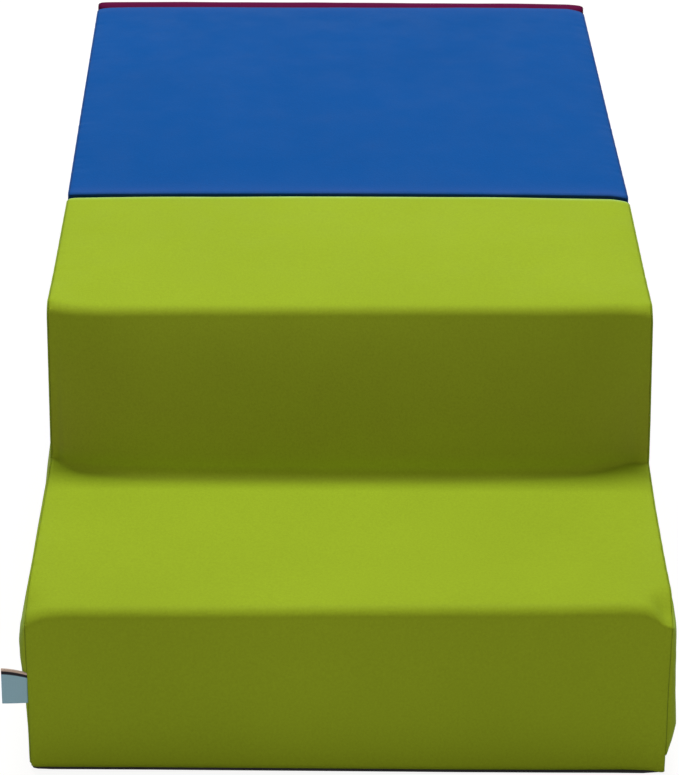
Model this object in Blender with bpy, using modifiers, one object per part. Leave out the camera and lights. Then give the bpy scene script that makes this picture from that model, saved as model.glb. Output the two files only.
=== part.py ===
"""A soft play climber: a two-step block, a platform and a slide wedge, set in one row.

Each block is cut from foam and sewn into a coated fabric cover. The cover has one long strip
that runs up the front, over the top and down the back, and a panel on each side. A black
non-slip base closes it below, and a zip runs along the foot of its right side. Hook and loop
strips hold the blocks together.

Metres, +Z up. The steps lie towards -Y and the slide towards +Y. The origin is on the floor,
under the middle of the platform.
"""

import math
from dataclasses import dataclass

import bmesh
import bpy
from mathutils import Vector

# Driving sizes
block_width = 0.606
lower_riser = 0.178
upper_riser = 0.170
lower_tread = 0.310
upper_tread = 0.300
platform_length = 0.620
slide_length = 0.620
toe_height = 0.030

# Fabric and fits
cover = 0.0012
clearance = 0.0003
seam_gap = 0.0005
inside_cover = cover + clearance

# How the cover swells over the foam, bridges the inner corner and draws in at its seams
seam_draw = 0.0045
side_swell = 0.0070
swell_run = 0.014
toe_run = 3
face_crown = 0.003
nose_radius = 0.012
back_radius = 0.010
seam_radius_share = 0.55
tuck_reach = 0.028
tuck_radius = 0.013
tuck_seam_radius = 0.003

# Stations across the strip, from a side seam to the middle: their distances from the seam,
# and the shares of the seam's draw, of the crown and of the tuck that each one has
seam_distances = (0, 0.008, 0.028, 0.070, block_width / 2)
draw_shares = (1, 0.55, 0.25, 0.10, 0)
crown_shares = (0, 0.15, 0.40, 0.75, 1)
tuck_shares = (0, 0.30, 0.65, 0.90, 1)
swell_depth_shares = (0, 0.02, 0.25, 1)
crown_place_shares = (0.15, 0.50, 0.85)
corner_points = 4

# Base
base_lip = 0.005
base_edge = 0.001

# Zip along the foot of the right side
chain_height = 0.022
band_top = 0.017
tape_foot = 0.010
zip_top = 0.028
tape = 0.0008
bead_width = 0.0024
bead_height = 0.0015
zip_inset = 0.0062
zip_end_height = 0.105
zip_ramp = 0.040

# Zip slider
slider_inset = 0.045
slider_length = 0.010
slider_plate = 0.0010
flange = 0.0011
flange_reach = 0.0003
bail_length = 0.0072
bail_width = 0.0020
bail_thickness = 0.0008
bail_sink = 0.0004
overrun = 0.001

# Pull tab
pin_radius = 0.0005
arm_width = 0.0013
pull_neck = 0.0016
pull_width = 0.0068
pull_length = 0.026
pull_hole_radius = 0.0011
pull_hole_corners = 8
pull_corner = 0.0020

# Hook and loop strips
strip_width = 0.050
strip_height = 0.240
strip_thickness = 0.0015
strip_foot = 0.050
strip_offset = 0.170

# Label in the left front seam of the steps
label_length = 0.027
label_height = 0.038
label_middle = 0.0925
label_fabric = 0.0005
label_space = 0.0006
label_fold_steps = 4

# Sizes that follow
height = lower_riser + upper_riser
steps_length = lower_tread + upper_tread
half_width = block_width / 2
cover_foot = base_lip + clearance
glue_height = lower_riser + face_crown + clearance
join_gap = 3 * clearance + 2 * strip_thickness
smooth_limit = math.radians(40)

# The slide's sharp top corner stands above its rounded crest, which is level with the platform.
# Slope and corner depend on each other, so they are worked out in a few rounds.
crest_rounds = 4
slide_peak = height
for _ in range(crest_rounds):
    slope = math.atan2(slide_peak - toe_height, slide_length)
    slide_peak = height + nose_radius * (math.tan(slope) + 1 / math.cos(slope) - 1)

# Its zip stops where the wedge is this low, and the foam swells no further than the zip
slide_zip_end = (slide_peak - zip_end_height) / math.tan(slope)
bare_toe = slide_length - slide_zip_end + zip_ramp

# Scene
for old in list(bpy.data.objects):
    bpy.data.objects.remove(old, do_unlink=True)

climber = bpy.data.collections.new("soft_play_climber")
cutters = bpy.data.collections.new("cutters")
bpy.context.scene.collection.children.link(climber)
bpy.context.scene.collection.children.link(cutters)
cutters.hide_render = True


# Materials

def material(name, colour, roughness, metallic=0.0):
    made = bpy.data.materials.new(name)
    made.use_nodes = True
    made.diffuse_color = (*colour, 1)
    shader = made.node_tree.nodes["Principled BSDF"]
    shader.inputs["Base Color"].default_value = (*colour, 1)
    shader.inputs["Roughness"].default_value = roughness
    shader.inputs["Metallic"].default_value = metallic
    return made


green_vinyl = material("green vinyl", (0.36, 0.47, 0.030), 0.45)
blue_vinyl = material("blue vinyl", (0.016, 0.110, 0.400), 0.45)
plum_vinyl = material("plum vinyl", (0.150, 0.011, 0.085), 0.45)
base_vinyl = material("black non-slip vinyl", (0.012, 0.012, 0.012), 0.80)
foam = material("cream foam", (0.76, 0.70, 0.50), 0.95)
loop_pile = material("loop strip", (0.020, 0.020, 0.022), 0.95)
hook_pile = material("hook strip", (0.030, 0.030, 0.032), 0.70)
zip_tape = material("zip tape", (0.018, 0.018, 0.020), 0.85)
zinc = material("zinc", (0.55, 0.56, 0.58), 0.32, 1.0)
label_weave = material("label weave", (0.72, 0.78, 0.82), 0.85)


# Outlines
# An outline's corners run clockwise, seen with its first axis to the right and its second up.
# For a block these are Y and Z: up the front, over the top, down the back, home along the base.

def inset(corners, distances):
    """Moves each side inwards by its own distance, and returns the corners where they meet."""
    moved = []
    for index, corner in enumerate(corners):
        following = corners[(index + 1) % len(corners)]
        arriving = (corner - corners[index - 1]).normalized()
        leaving = (following - corner).normalized()
        turn = arriving.x * leaving.y - arriving.y * leaving.x
        before, after = distances[index - 1], distances[index]
        moved.append(corner + (arriving * after - leaving * before) / turn)
    return moved


def corner_arc(corner, arriving, leaving, radius):
    """Points along the arc that rounds a corner between two directions."""
    turn = arriving.x * leaving.y - arriving.y * leaving.x
    angle = math.atan2(turn, arriving.dot(leaving))
    start = corner - arriving * radius * math.tan(abs(angle) / 2)
    to_centre = Vector((-arriving.y, arriving.x)) * math.copysign(radius, angle)
    centre = start + to_centre
    points = []
    for step in range(corner_points):
        turned = angle * step / (corner_points - 1)
        sine, cosine = math.sin(turned), math.cos(turned)
        spoke = Vector((
            -to_centre.x * cosine + to_centre.y * sine,
            -to_centre.x * sine - to_centre.y * cosine,
        ))
        points.append(centre + spoke)
    return points


def rounded(corners, radii, crowns):
    """Rounds each corner to its radius and lifts the middle of each side by its crown.

    A radius of zero keeps a corner as one point. A crown of None keeps a side straight.
    """
    spans = []
    for index, corner in enumerate(corners):
        arriving = (corner - corners[index - 1]).normalized()
        leaving = (corners[(index + 1) % len(corners)] - corner).normalized()
        arc = corner_arc(corner, arriving, leaving, radii[index]) if radii[index] else [corner]
        spans.append(arc)
    points = []
    for index, span in enumerate(spans):
        points += span
        if crowns[index] is None:
            continue
        side = spans[(index + 1) % len(spans)][0] - span[-1]
        outwards = Vector((-side.y, side.x)).normalized()
        for share in crown_place_shares:
            lift = crowns[index] * (1 - (2 * share - 1) ** 2)
            points.append(span[-1] + side * share + outwards * lift)
    return points


def along_x(place, outline):
    return [Vector((place, point.x, point.y)) for point in outline]


def along_y(place, outline):
    return [Vector((point.x, place, point.y)) for point in outline]


def along_z(place, outline):
    return [Vector((point.x, point.y, place)) for point in outline]


def rectangle(low_across, high_across, low_up, high_up):
    return [
        Vector((low_across, low_up)),
        Vector((low_across, high_up)),
        Vector((high_across, high_up)),
        Vector((high_across, low_up)),
    ]


# Solids

def new_object(name, mesh, finish, parent, location=(0, 0, 0)):
    made = bpy.data.objects.new(name, mesh)
    made.data.materials.append(finish)
    made.parent = parent
    made.location = location
    climber.objects.link(made)
    return made


def new_frame(name, location):
    frame = bpy.data.objects.new(name, None)
    frame.location = location
    climber.objects.link(frame)
    return frame


def loft(name, rings, finish, parent, location=(0, 0, 0), sheet=0, closed=True, caps="both"):
    """Skins the rings in their order. With a sheet thickness it is a shell that grows inwards."""
    shape = bmesh.new()
    rows = [[shape.verts.new(point) for point in ring] for ring in rings]
    count = len(rows[0])
    for here, there in zip(rows, rows[1:]):
        for index in range(count if closed else count - 1):
            following = (index + 1) % count
            shape.faces.new((here[index], there[index], there[following], here[following]))
    if caps in ("both", "first"):
        shape.faces.new(rows[0])
    if caps in ("both", "last"):
        shape.faces.new(reversed(rows[-1]))
    if not sheet:
        bmesh.ops.recalc_face_normals(shape, faces=shape.faces)
    mesh = bpy.data.meshes.new(name)
    shape.to_mesh(mesh)
    shape.free()
    mesh.shade_smooth()
    mesh.set_sharp_from_angle(angle=smooth_limit)
    made = new_object(name, mesh, finish, parent, location)
    if sheet:
        shell = made.modifiers.new("fabric thickness", "SOLIDIFY")
        shell.thickness = sheet
        shell.offset = -1
        shell.use_even_offset = True
    return made


# Blocks

@dataclass
class Block:
    """A block's outline in Y and Z, with a radius for each corner and a crown for each side.

    Its first and last corners stand on the floor. Its last sides, which its foot sides name,
    lie along the floor. One corner may be tucked, where the cover bridges the angle of two steps.
    """

    name: str
    length: float
    corners: list
    radii: list
    crowns: list
    vinyl: object
    frame: object
    foot_sides: tuple
    tucked: tuple = ()
    toe_run: float = 0
    bare_back: float = 0
    seam_share: float = seam_radius_share

    def section(self, foot, draw, crown_share, tuck_share, inside=0, foot_rise=0, back_draw=0):
        """The outline at one station, drawn in on every side, and more where it is inside the cover."""
        corners = [Vector(corner) for corner in self.corners]
        corners[0].y = foot
        corners[-1].y = foot
        sides = [draw + inside] * len(corners)
        back = len(sides) - len(self.foot_sides) - 1
        sides[back] += back_draw
        sides[back + 1 :] = [foot_rise] * len(self.foot_sides)
        radii = []
        for place, corner, radius in zip(self.corners, corners, self.radii):
            least = radius * self.seam_share
            if place == self.tucked:
                corner.x -= tuck_share * tuck_reach
                radii.append(tuck_seam_radius + (radius - tuck_seam_radius) * tuck_share + inside)
            elif radius:
                radii.append(least + (radius - least) * crown_share - inside)
            else:
                radii.append(0)
        crowns = [None if crown is None else crown * crown_share for crown in self.crowns]
        return rounded(inset(corners, sides), radii, crowns)

    def swell_rings(self, side, foot, inside=0, back_draw=0, at_seam=True):
        """Rings from a side seam out to the flat of that side, ordered along +X."""
        rings = []
        for share in swell_depth_shares:
            depth = share * swell_run
            out = side_swell * math.sqrt(1 - (1 - share) ** 2) - inside
            if at_seam:
                out = max(out, 0)
            outline = self.section(
                foot,
                seam_draw + depth,
                0,
                0,
                inside,
                depth + inside,
                self.toe_run * depth * share + back_draw,
            )
            rings.append(along_x(side * (half_width + seam_gap + out), outline))
        return rings[::side]


def stations():
    """Places across the strip from seam to seam, each with its shares of draw, crown and tuck."""
    shares = list(zip(draw_shares, crown_shares, tuck_shares))
    left = [(distance - half_width, *share) for distance, share in zip(seam_distances, shares)]
    return left + [(-place, *share) for place, *share in left[-2::-1]]


def cover_strip(block):
    """The long strip up the front, over the top and down the back, open below."""
    rings = []
    for place, draw, crown, tuck in stations():
        rings.append(along_x(place, block.section(cover_foot, draw * seam_draw, crown, tuck)))
    name = block.name + "_cover"
    loft(name, rings, block.vinyl, block.frame, sheet=cover, closed=False, caps="none")


def side_panel(block, side, foot):
    """A swelling panel, from the flat of its outer face to its seam and back along its inner face."""
    outer = block.swell_rings(side, foot)[::-side]
    inner = block.swell_rings(side, foot, cover)[::side]
    word = "right" if side > 0 else "left"
    loft(f"{block.name}_{word}_side", outer + inner, block.vinyl, block.frame)


def foam_core(block, name):
    """The foam from its left face to its right, clear of the cover, the base and the zip."""
    rings = block.swell_rings(-1, cover_foot, inside_cover, at_seam=False)
    for place, draw, crown, _ in stations()[1:-1]:
        outline = block.section(inside_cover, draw * seam_draw, crown, 0, inside_cover)
        rings.append(along_x(place, outline))
    rings += block.swell_rings(1, zip_top, inside_cover, block.bare_back, at_seam=False)
    return loft(name, rings, foam, block.frame)


def keep_part(solid, cut_height, keep_above):
    """Cuts a solid at a height and closes the cut."""
    shape = bmesh.new()
    shape.from_mesh(solid.data)
    cut = bmesh.ops.bisect_plane(
        shape,
        geom=shape.verts[:] + shape.edges[:] + shape.faces[:],
        plane_co=(0, 0, cut_height),
        plane_no=(0, 0, 1),
        clear_inner=keep_above,
        clear_outer=not keep_above,
    )
    rim = [item for item in cut["geom_cut"] if isinstance(item, bmesh.types.BMEdge)]
    bmesh.ops.edgeloop_fill(shape, edges=rim)
    bmesh.ops.recalc_face_normals(shape, faces=shape.faces)
    shape.to_mesh(solid.data)
    shape.free()
    solid.data.shade_smooth()
    solid.data.set_sharp_from_angle(angle=smooth_limit)


def base_tray(block):
    """The non-slip sheet under the foam, with its edge turned up to meet the cover."""
    front = [Vector((place, draw * seam_draw)) for place, draw, _, _ in stations()]
    back = [Vector((corner.x, block.length - corner.y)) for corner in front]
    footprint = back + front[::-1]
    rings = [
        along_z(0, inset(footprint, [base_edge] * len(footprint))),
        along_z(base_edge, footprint),
        along_z(base_lip, footprint),
    ]
    loft(block.name + "_base", rings, base_vinyl, block.frame, sheet=cover, caps="first")


# Zips

def zip_half(block, name, edge, far_edge, end):
    """One half of the chain: a tape with the bead of its coil along the edge that meets the other."""
    towards = math.copysign(bead_width, far_edge - edge)
    outline = [
        Vector((half_width - tape, edge)),
        Vector((half_width - tape, far_edge)),
        Vector((half_width, far_edge)),
        Vector((half_width, edge + towards)),
        Vector((half_width + bead_height, edge + towards)),
        Vector((half_width + bead_height, edge)),
    ]
    rings = [along_y(zip_inset, outline), along_y(end, outline)]
    loft(name, rings, zip_tape, block.frame)


def zip_slider(block):
    """A slider that clasps both beads of the chain, with a bail over it for the pull."""
    bead_edge = clearance / 2 + bead_width + clearance
    wing = bead_edge + flange
    floor = bead_height + clearance
    top = floor + slider_plate
    outline = [
        Vector((flange_reach, -wing)),
        Vector((flange_reach, -bead_edge)),
        Vector((floor, -bead_edge)),
        Vector((floor, bead_edge)),
        Vector((flange_reach, bead_edge)),
        Vector((flange_reach, wing)),
        Vector((top, wing)),
        Vector((top, -wing)),
    ]
    place = (half_width, slider_inset, chain_height)
    name = block.name + "_zip_slider"
    rings = [along_y(-slider_length / 2, outline), along_y(slider_length / 2, outline)]
    slider = loft(name, rings, zinc, block.frame, place)
    edge = slider.modifiers.new("cast edges", "BEVEL")
    edge.width = clearance
    edge.segments = 1

    pin_space = 2 * pin_radius + 2 * clearance
    inner = bail_length / 2 - bail_thickness
    crest = top + pin_space
    arch = [
        Vector((top - bail_sink, -bail_length / 2)),
        Vector((crest, -bail_length / 2)),
        Vector((crest + bail_thickness, -inner)),
        Vector((crest + bail_thickness, inner)),
        Vector((crest, bail_length / 2)),
        Vector((top - bail_sink, bail_length / 2)),
        Vector((top - bail_sink, inner)),
        Vector((crest, inner)),
        Vector((crest, -inner)),
        Vector((top - bail_sink, -inner)),
    ]
    rings = [along_z(-bail_width / 2, arch), along_z(bail_width / 2, arch)]
    bail = loft(block.name + "_bail", rings, zinc, block.frame, place)
    bail.hide_render = True
    bail.display_type = "WIRE"
    climber.objects.unlink(bail)
    cutters.objects.link(bail)
    joined = slider.modifiers.new("bail", "BOOLEAN")
    joined.operation = "UNION"
    joined.solver = "EXACT"
    joined.object = bail
    return slider


def zip_pull(block, slider):
    """A tab on a pin that turns under the bail. Its own origin lies on the pin's axis."""
    pin_height = bead_height + clearance + slider_plate + clearance + pin_radius
    arm_inner = bail_width / 2 + clearance
    arm_outer = arm_inner + arm_width
    slot_end = bail_length / 2 + clearance
    shoulder = slot_end + pull_neck
    tip = pull_length
    half = pull_width / 2
    outline = [
        Vector((-pin_radius, -arm_outer)),
        Vector((-pin_radius, arm_outer)),
        Vector((shoulder, arm_outer)),
        Vector((shoulder + pull_neck, half)),
        Vector((tip - pull_corner, half)),
        Vector((tip, half - pull_corner)),
        Vector((tip, pull_corner - half)),
        Vector((tip - pull_corner, -half)),
        Vector((shoulder + pull_neck, -half)),
        Vector((shoulder, -arm_outer)),
    ]
    name = block.name + "_zip_pull"
    rings = [along_x(-pin_radius, outline), along_x(pin_radius, outline)]
    pull = loft(name, rings, zinc, slider, (pin_height, 0, 0))
    slot = rectangle(pin_radius, slot_end, -arm_inner, arm_inner)
    window = pull_cutter(name + "_window", slot, pull)
    hole = []
    for step in range(pull_hole_corners):
        angle = math.tau * (step + 1 / 2) / pull_hole_corners
        across = tip - pull_corner - pull_hole_radius + pull_hole_radius * math.cos(angle)
        hole.append(Vector((across, -pull_hole_radius * math.sin(angle))))
    eye = pull_cutter(name + "_eye", hole, pull)
    for cutter in (window, eye):
        cut = pull.modifiers.new(cutter.name, "BOOLEAN")
        cut.operation = "DIFFERENCE"
        cut.solver = "EXACT"
        cut.object = cutter


def pull_cutter(name, outline, pull):
    reach = pin_radius + overrun
    rings = [along_x(-reach, outline), along_x(reach, outline)]
    cutter = loft(name, rings, zinc, pull)
    cutter.hide_render = True
    cutter.display_type = "WIRE"
    climber.objects.unlink(cutter)
    cutters.objects.link(cutter)
    return cutter


def zip_closure(block, band, end):
    """The zip of a block, from its front to this end, over a fabric band of this outline."""
    lower_edge = chain_height - clearance / 2
    upper_edge = chain_height + clearance / 2
    rings = [
        along_x(half_width + clearance, band),
        along_x(half_width + clearance + cover, band),
    ]
    loft(block.name + "_zip_band", rings, block.vinyl, block.frame)
    zip_half(block, block.name + "_zip_lower_tape", lower_edge, tape_foot, end)
    zip_half(block, block.name + "_zip_upper_tape", upper_edge, zip_top + cover, end)
    zip_pull(block, zip_slider(block))


# Hook and loop strips

def join_strips(block, kind, face, towards, finish):
    """Two upright strips sewn on a face of the block, standing off it along Y."""
    for word, side in (("left", -1), ("right", 1)):
        low = face + towards * clearance
        high = low + towards * strip_thickness
        middle = side * strip_offset
        outline = rectangle(
            middle - strip_width / 2,
            middle + strip_width / 2,
            strip_foot,
            strip_foot + strip_height,
        )
        name = f"{block.name}_{kind}_strip_{word}"
        rings = [along_y(min(low, high), outline), along_y(max(low, high), outline)]
        loft(name, rings, finish, block.frame)


# Two steps

steps_front = -platform_length / 2 - join_gap - steps_length
steps = Block(
    name="steps",
    length=steps_length,
    corners=[
        (0, 0),
        (0, lower_riser),
        (lower_tread, lower_riser),
        (lower_tread, height),
        (steps_length, height),
        (steps_length, 0),
    ],
    radii=[0, nose_radius, tuck_radius, nose_radius, back_radius, 0],
    crowns=[face_crown, None, face_crown, face_crown, None, None],
    vinyl=green_vinyl,
    frame=new_frame("steps_frame", (0, steps_front, 0)),
    foot_sides=("base",),
    tucked=(lower_tread, lower_riser),
)
cover_strip(steps)
side_panel(steps, -1, cover_foot)
side_panel(steps, 1, zip_top)
keep_part(foam_core(steps, "steps_lower_core"), glue_height, keep_above=False)
keep_part(foam_core(steps, "steps_upper_core"), glue_height + clearance, keep_above=True)
base_tray(steps)
steps_band = rectangle(zip_inset, steps_length - zip_inset, cover_foot, band_top)
zip_closure(steps, steps_band, steps_length - zip_inset)
join_strips(steps, "loop", steps_length, 1, loop_pile)

# Platform

platform = Block(
    name="platform",
    length=platform_length,
    corners=[(0, 0), (0, height), (platform_length, height), (platform_length, 0)],
    radii=[0, back_radius, back_radius, 0],
    crowns=[None, face_crown, None, None],
    vinyl=blue_vinyl,
    frame=new_frame("platform_frame", (0, -platform_length / 2, 0)),
    foot_sides=("base",),
)
cover_strip(platform)
side_panel(platform, -1, cover_foot)
side_panel(platform, 1, zip_top)
foam_core(platform, "platform_core")
base_tray(platform)
platform_band = rectangle(zip_inset, platform_length - zip_inset, cover_foot, band_top)
zip_closure(platform, platform_band, platform_length - zip_inset)
join_strips(platform, "hook", 0, -1, hook_pile)
join_strips(platform, "loop", platform_length, 1, loop_pile)

# Slide wedge
# Its right side comes down to the base behind the end of the zip, where the wedge gets low.

slide = Block(
    name="slide",
    length=slide_length,
    corners=[(0, 0), (0, slide_peak), (slide_length, toe_height), (slide_length, 0)],
    radii=[0, nose_radius, back_radius, 0],
    crowns=[None, face_crown, None, None],
    vinyl=plum_vinyl,
    frame=new_frame("slide_frame", (0, platform_length / 2 + join_gap, 0)),
    foot_sides=("base",),
    toe_run=toe_run,
    bare_back=bare_toe,
    seam_share=1,
)
cover_strip(slide)
side_panel(slide, -1, cover_foot)
foam_core(slide, "slide_core")
base_tray(slide)

slide_right = Block(
    name="slide",
    length=slide_length,
    corners=[
        (0, zip_top),
        (0, slide_peak),
        (slide_length, toe_height),
        (slide_length, cover_foot),
        (slide_zip_end + zip_ramp, cover_foot),
        (slide_zip_end, zip_top),
    ],
    radii=[0, nose_radius, back_radius, 0, 0, 0],
    crowns=[None, face_crown, None, None, None, None],
    vinyl=plum_vinyl,
    frame=slide.frame,
    foot_sides=("base", "ramp", "zip"),
    toe_run=toe_run,
    seam_share=1,
)
side_panel(slide_right, 1, zip_top)
ramp_share = (band_top - cover_foot) / (zip_top - cover_foot)
slide_band = [
    Vector((zip_inset, cover_foot)),
    Vector((zip_inset, band_top)),
    Vector((slide_zip_end + zip_ramp * (1 - ramp_share) - cover, band_top)),
    Vector((slide_zip_end + zip_ramp - cover, cover_foot)),
]
zip_closure(slide, slide_band, slide_zip_end)
join_strips(slide, "hook", 0, -1, hook_pile)

# Label
# A woven loop, folded at its outer end and caught by both ends in the seam.

def folded_label():
    front = seam_draw - clearance - 2 * label_fabric - label_space
    middle = front + label_fabric + label_space / 2
    root = -half_width - clearance
    bend = root - label_length + label_fabric + label_space / 2

    def fold(radius):
        arc = []
        for step in range(label_fold_steps + 1):
            angle = math.pi * step / label_fold_steps
            across = bend - radius * math.sin(angle)
            arc.append(Vector((across, middle - radius * math.cos(angle))))
        return arc

    outer_radius = label_space / 2 + label_fabric
    inner_radius = label_space / 2
    outline = [Vector((root, middle - outer_radius))] + fold(outer_radius)
    outline += [Vector((root, middle + outer_radius)), Vector((root, middle + inner_radius))]
    outline += fold(inner_radius)[::-1] + [Vector((root, middle - inner_radius))]
    low = label_middle - label_height / 2
    rings = [along_z(low, outline), along_z(low + label_height, outline)]
    loft("steps_label", rings, label_weave, steps.frame)


folded_label()
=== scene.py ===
import math

import bpy
import numpy as np
from mathutils import Matrix, Vector, geometry


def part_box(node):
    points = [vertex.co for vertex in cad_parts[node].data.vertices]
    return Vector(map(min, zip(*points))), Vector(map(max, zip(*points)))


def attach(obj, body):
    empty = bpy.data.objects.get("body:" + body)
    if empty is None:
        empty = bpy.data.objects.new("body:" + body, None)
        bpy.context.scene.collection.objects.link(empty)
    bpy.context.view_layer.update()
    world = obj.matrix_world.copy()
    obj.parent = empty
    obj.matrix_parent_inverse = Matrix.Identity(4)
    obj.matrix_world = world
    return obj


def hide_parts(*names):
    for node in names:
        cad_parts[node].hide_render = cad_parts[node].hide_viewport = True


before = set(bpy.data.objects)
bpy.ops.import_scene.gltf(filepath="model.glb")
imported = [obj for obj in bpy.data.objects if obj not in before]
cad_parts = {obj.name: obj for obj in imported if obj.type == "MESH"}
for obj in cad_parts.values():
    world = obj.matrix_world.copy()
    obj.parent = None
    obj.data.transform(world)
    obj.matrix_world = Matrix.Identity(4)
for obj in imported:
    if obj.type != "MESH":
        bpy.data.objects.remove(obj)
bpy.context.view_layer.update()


# Photographed view
# The camera stands a standing person's eye height above the floor, a little left of the middle,
# and looks down along the row of blocks from in front of the steps.

photo_height = 775
focal_pixels = 3264
sensor = 36.0
eye_turn = -0.570
eye_dip = 25.528
eye_roll = 0.590


def placed(name, data):
    """A new object with this data, linked into the scene."""
    made = bpy.data.objects.new(name, data)
    bpy.context.scene.collection.objects.link(made)
    return made


eye = placed("eye", bpy.data.cameras.new("eye"))
eye.data.sensor_fit = "VERTICAL"
eye.data.sensor_height = sensor
eye.data.lens = focal_pixels / photo_height * sensor
eye.data.clip_end = 60
eye.location = (-0.0386, -3.5918, 1.6830)
turned_round = Matrix.Rotation(math.radians(eye_turn), 3, "Z")
looking_down = Matrix.Rotation(math.radians(90 - eye_dip), 3, "X")
rolled = Matrix.Rotation(math.radians(eye_roll), 3, "Z")
eye.rotation_euler = (turned_round @ looking_down @ rolled).to_euler()
bpy.context.scene.camera = eye
bpy.context.scene.view_settings.view_transform = "Standard"


# Floor and studio light
# A pale floor that the camera sees as white, with the climber's own soft shadow on it, and that
# fades into the white backdrop. One wide lamp hangs above and a little behind, and a faint, warm
# one stands in front.

floor_reach = 14
floor_height = -0.0002
fade_start, fade_end = 1.3, 2.4

floor_mesh = bpy.data.meshes.new("studio_floor")
floor_ways = [(-1, -1), (1, -1), (1, 1), (-1, 1)]
floor_corners = [(x * floor_reach, y * floor_reach, floor_height) for x, y in floor_ways]
floor_mesh.from_pydata(floor_corners, [], [(0, 1, 2, 3)])
floor = placed("studio_floor", floor_mesh)


def feed(tree, socket, value):
    """Links a shader socket to another node's output, or sets it to a constant."""
    if isinstance(value, bpy.types.NodeSocket):
        tree.links.new(value, socket)
    else:
        socket.default_value = value


def node(tree, kind, output, *inputs, **settings):
    """Adds a shader node with these settings and inputs, and returns one of its outputs."""
    made = tree.nodes.new("ShaderNode" + kind)
    for key, value in settings.items():
        if key in made.inputs:
            feed(tree, made.inputs[key], value)
        else:
            setattr(made, key, value)
    for index, value in enumerate(inputs):
        feed(tree, made.inputs[index], value)
    return made.outputs[output]


def combined(tree, operation, first, *others):
    """Multiplies or adds up values, one after another, or keeps the larger one each time."""
    for other in others:
        first = node(tree, "Math", 0, first, other, operation=operation)
    return first


def spread(tree, source, low, high, start=0.0, end=1.0):
    """Maps a value's range from start to end onto low to high, and holds it beyond."""
    reach = {"From Min": start, "From Max": end, "To Min": low, "To Max": high}
    return node(tree, "MapRange", 0, Value=source, **reach)


def seen_directly(tree):
    """1 for camera, glossy and transmission rays, and 0 for the rays that light the object."""
    rays = tree.nodes.new("ShaderNodeLightPath").outputs
    seen = [rays[f"Is {kind} Ray"] for kind in ("Camera", "Glossy", "Transmission")]
    return combined(tree, "MAXIMUM", *seen)


pale_floor = bpy.data.materials.new("pale floor")
pale_floor.use_nodes = True
tree = pale_floor.node_tree
tree.nodes.clear()
lit = node(tree, "BsdfDiffuse", 0, Color=(0.55, 0.55, 0.55, 1))
shown = node(tree, "BsdfDiffuse", 0, Color=(0.17, 0.17, 0.17, 1))
shaded = node(tree, "AddShader", 0, shown, node(tree, "Emission", 0, Strength=0.905))
away = node(tree, "VectorMath", "Value", node(tree, "TexCoord", "Object"), operation="LENGTH")
fading = spread(tree, away, 0.0, 1.0, fade_start, fade_end)
white = node(tree, "MixShader", 0, fading, shaded, node(tree, "Emission", 0))
surface = node(tree, "MixShader", 0, seen_directly(tree), lit, white)
tree.links.new(surface, tree.nodes.new("ShaderNodeOutputMaterial").inputs["Surface"])
floor_mesh.materials.append(pale_floor)

room = bpy.data.worlds.new("studio room")
bpy.context.scene.world = room
room.use_nodes = True
tree = room.node_tree
tree.nodes.clear()
ambient = node(tree, "Background", 0, Color=(1, 0.86, 0.72, 1), Strength=0.22)
backdrop = node(tree, "Background", 0, Color=(1, 1, 1, 1), Strength=1.0)
surface = node(tree, "MixShader", 0, seen_directly(tree), ambient, backdrop)
tree.links.new(surface, tree.nodes.new("ShaderNodeOutputWorld").inputs["Surface"])

for name, place, tilt, wide, deep, power, colour in (
    ("high lamp", (0, 0.45, 4.3), -12, 3.0, 1.0, 152, (1, 0.96, 0.96)),
    ("front lamp", (0, -3.0, 0.75), 84, 2.4, 0.9, 8, (1, 0.78, 0.62)),
):
    lamp = placed(name, bpy.data.lights.new(name, "AREA"))
    lamp.data.shape = "RECTANGLE"
    lamp.data.size, lamp.data.size_y = wide, deep
    lamp.data.energy = power
    lamp.data.color = colour
    lamp.location = place
    lamp.rotation_euler = (math.radians(tilt), 0, 0)


# Cover strips
# Each block wears one long strip of PVC-coated polyester, about 1.2 mm thick with its backing.
# It runs up the front, over the top and down the back, and is sewn to a panel on each side. The
# foam fills it tightly, so it crowns between its edges and draws in towards its seams.

half_width = 0.303
fabric = 0.0012
cover_foot = 0.0053
seam_draw = 0.0028
groove_depth, groove_width = 0.0005, 0.0011
seam_flange = 0.0022
flange_shares = np.array([1, 0.4])
face_crown = 0.003
nose_radius = 0.012
back_radius = 0.010
joint_radius = 0.004
pucker_height, pucker_reach = 0.00034, 0.009
slack_height = 0.00065
arc_steps = 9
run_step = 0.0045
sharp_wear = 0.35
wear_fade = 0.012

lower_riser, top = 0.178, 0.348
lower_tread, steps_length = 0.310, 0.610
platform_length = slide_length = 0.620
toe_height = 0.030
slide_peak = top
for _ in range(4):
    slide_slope = math.atan2(slide_peak - toe_height, slide_length)
    slide_peak = top + nose_radius * (math.tan(slide_slope) + 1 / math.cos(slide_slope) - 1)


def mm(*lengths):
    """Lengths given in millimetres, in metres."""
    return np.array(lengths) / 1000


tuck_places = mm(-303, -296, -291, -281, -263, -247, -222, -171, 0, 150, 211, 242, 267, 281, 289,
                 303)
tuck_reaches = mm(0, 1, 9, 16, 24.5, 27, 33, 37, 36, 33.5, 27.3, 22.5, 13.9, 6.2, 1, 0)
tuck_radius, tuck_seam_radius = 0.013, 0.003
rise_places = mm(-303, -285, 0, 200, 285, 303)
foot_places = mm(-303, -299, -290, -257, -190, -94, 0, 98, 194, 261, 288, 296, 303)
foot_reaches = mm(1.5, 2.8, 2.9, 2.3, 2.1, 2.5, 3.1, 3.8, 4, 4.2, 5, 4, 2)
foot_lifts = mm(0, 0, 0, 0, 0.2, 0.3, 0.4, 0.5, 0.8, 1.4, 0.8, 0, 0)
right_foot_drop, left_foot_drop, foot_drop_width = 0.0040, 0.0008, 0.009

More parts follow.
